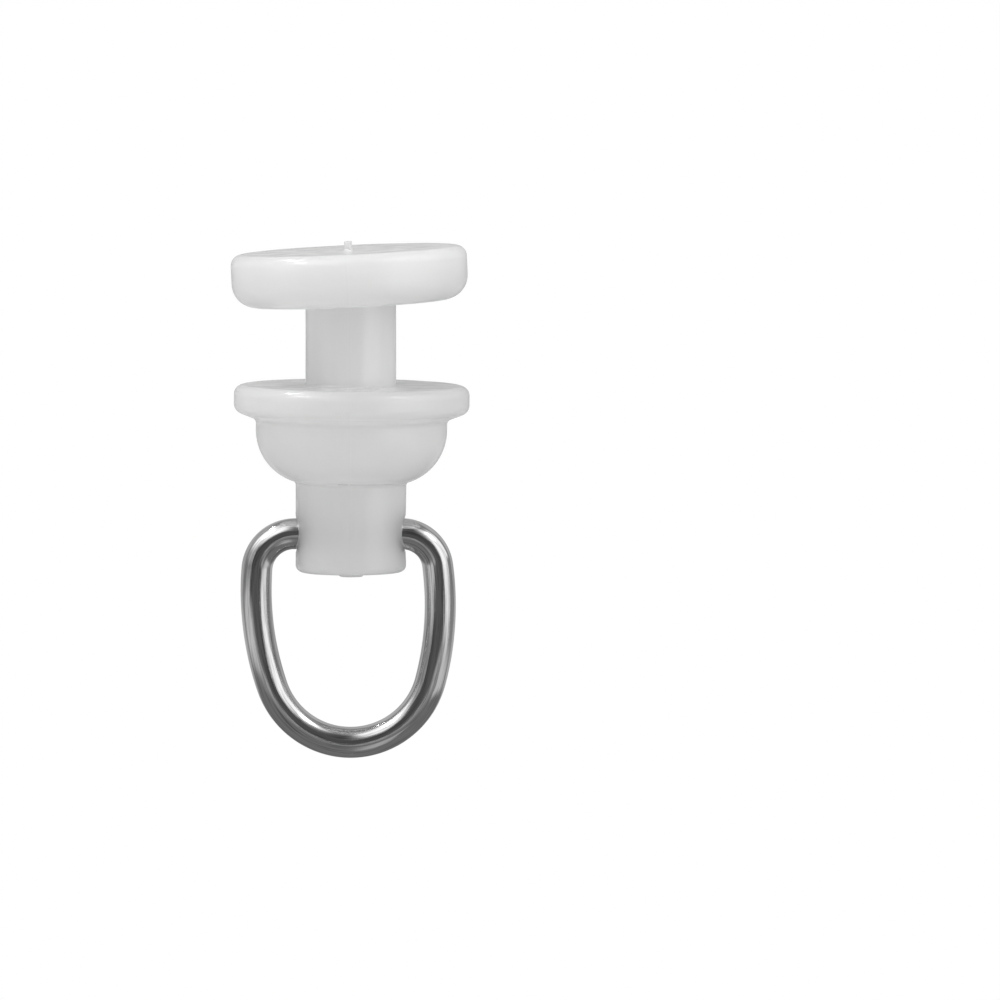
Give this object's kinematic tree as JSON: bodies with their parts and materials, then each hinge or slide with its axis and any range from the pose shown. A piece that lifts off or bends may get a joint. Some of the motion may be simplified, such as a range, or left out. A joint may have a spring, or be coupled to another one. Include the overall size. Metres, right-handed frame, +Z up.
{
  "type": "curtain glider",
  "caption": "Round curtain track glider: a white moulded body with head disc, neck, flange, bowl and stem, and a D-shaped wire ring that swings in the stem's cross hole.",
  "frame": {"origin": "middle of the head's underside, where the head rests on the lips of the track", "axes": "+Z up along the moulding, +X along the track and along the ring's bar, +Y across the track"},
  "size_m": [0.0122, 0.012, 0.0266],
  "materials": {
    "white_plastic": "plain white moulded acetal, soft gloss",
    "plated_wire": "bright nickel plate over drawn steel wire"
  },
  "bodies": {
    "moulding": {"glider_body": "white_plastic"},
    "ring": {"d_ring": "plated_wire"}
  },
  "joints": [
    {"name": "ring_swing", "type": "hinge", "parent": "moulding", "child": "ring", "pos_m": [0, 0, -0.01185], "axis": [1, 0, 0], "range_deg": [-135, 135]}
  ]
}
